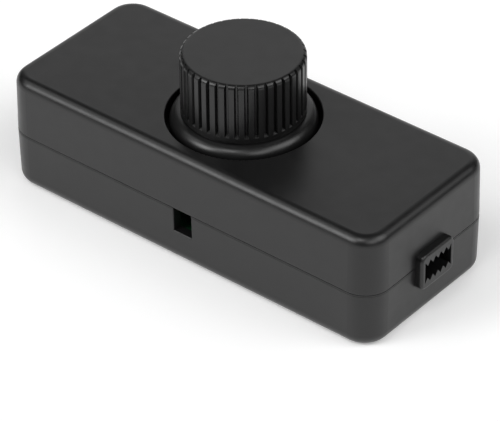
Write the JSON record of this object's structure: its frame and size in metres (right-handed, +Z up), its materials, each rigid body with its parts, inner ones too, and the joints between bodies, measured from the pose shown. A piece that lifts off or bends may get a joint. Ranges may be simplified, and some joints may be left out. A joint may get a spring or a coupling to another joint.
{
  "type": "rotary cord dimmer",
  "caption": "In-line dimmer for a lamp cord: moulded two-part case with toothed cord outlets and a fluted knob that turns a potentiometer over its triac circuit.",
  "frame": {"origin": "middle of the underside of the case, on the surface it rests on", "axes": "+Z up along the knob axis, X along the case from one cord outlet to the other, -Y towards the long side with the catch window"},
  "size_m": [0.093, 0.0372, 0.0391],
  "materials": {
    "case_black": "black satin moulded plastic, finely grained",
    "knob_black": "black satin moulded plastic",
    "steel": "nickel-plated steel",
    "zinc": "zinc-plated sheet steel and turned steel",
    "brass": "bare brass",
    "board_green": "green lacquered board",
    "phenolic": "brown laminated board",
    "carrier_white": "off-white moulded plastic",
    "terminal_grey": "grey moulded plastic",
    "aluminium": "plain aluminium sheet",
    "component_black": "black moulded epoxy",
    "fuse_brown": "brown moulded cap",
    "ferrite": "dark grey sintered ferrite",
    "winding_copper": "lacquered copper wire, taken as plastic by its finish",
    "capacitor_yellow": "yellow moulded box",
    "resistor_tan": "tan lacquer",
    "glass_blue": "blue lacquered glass bead"
  },
  "bodies": {
    "housing": {"bottom_shell": "case_black", "top_shell": "case_black", "case_screws": "steel", "pot_bush": "brass", "pot_case": "zinc", "pot_wafer": "phenolic", "pot_terminals": "steel", "pot_washer": "steel", "pot_nut": "steel", "circuit_board": "board_green", "board_screws": "steel", "input_terminal_block": "terminal_grey", "output_terminal_block": "terminal_grey", "terminal_clamps": "brass", "terminal_screws": "zinc", "heat_sink": "aluminium", "triac": "component_black", "triac_screw": "zinc", "triac_nut": "zinc", "fuse": "fuse_brown", "choke_core": "ferrite", "choke_winding": "winding_copper", "suppression_capacitor": "capacitor_yellow", "timing_capacitor": "capacitor_yellow", "resistors": "resistor_tan", "diac": "glass_blue"},
    "turning_knob": {"knob": "knob_black", "pot_shaft": "zinc", "shaft_clip": "zinc", "wiper_carrier": "carrier_white", "wiper_contact": "brass"}
  },
  "joints": [
    {"name": "knob_turn", "type": "hinge", "parent": "housing", "child": "turning_knob", "pos_m": [0, 0, 0.02485], "axis": [0, 0, -1], "range_deg": [0, 300]}
  ]
}
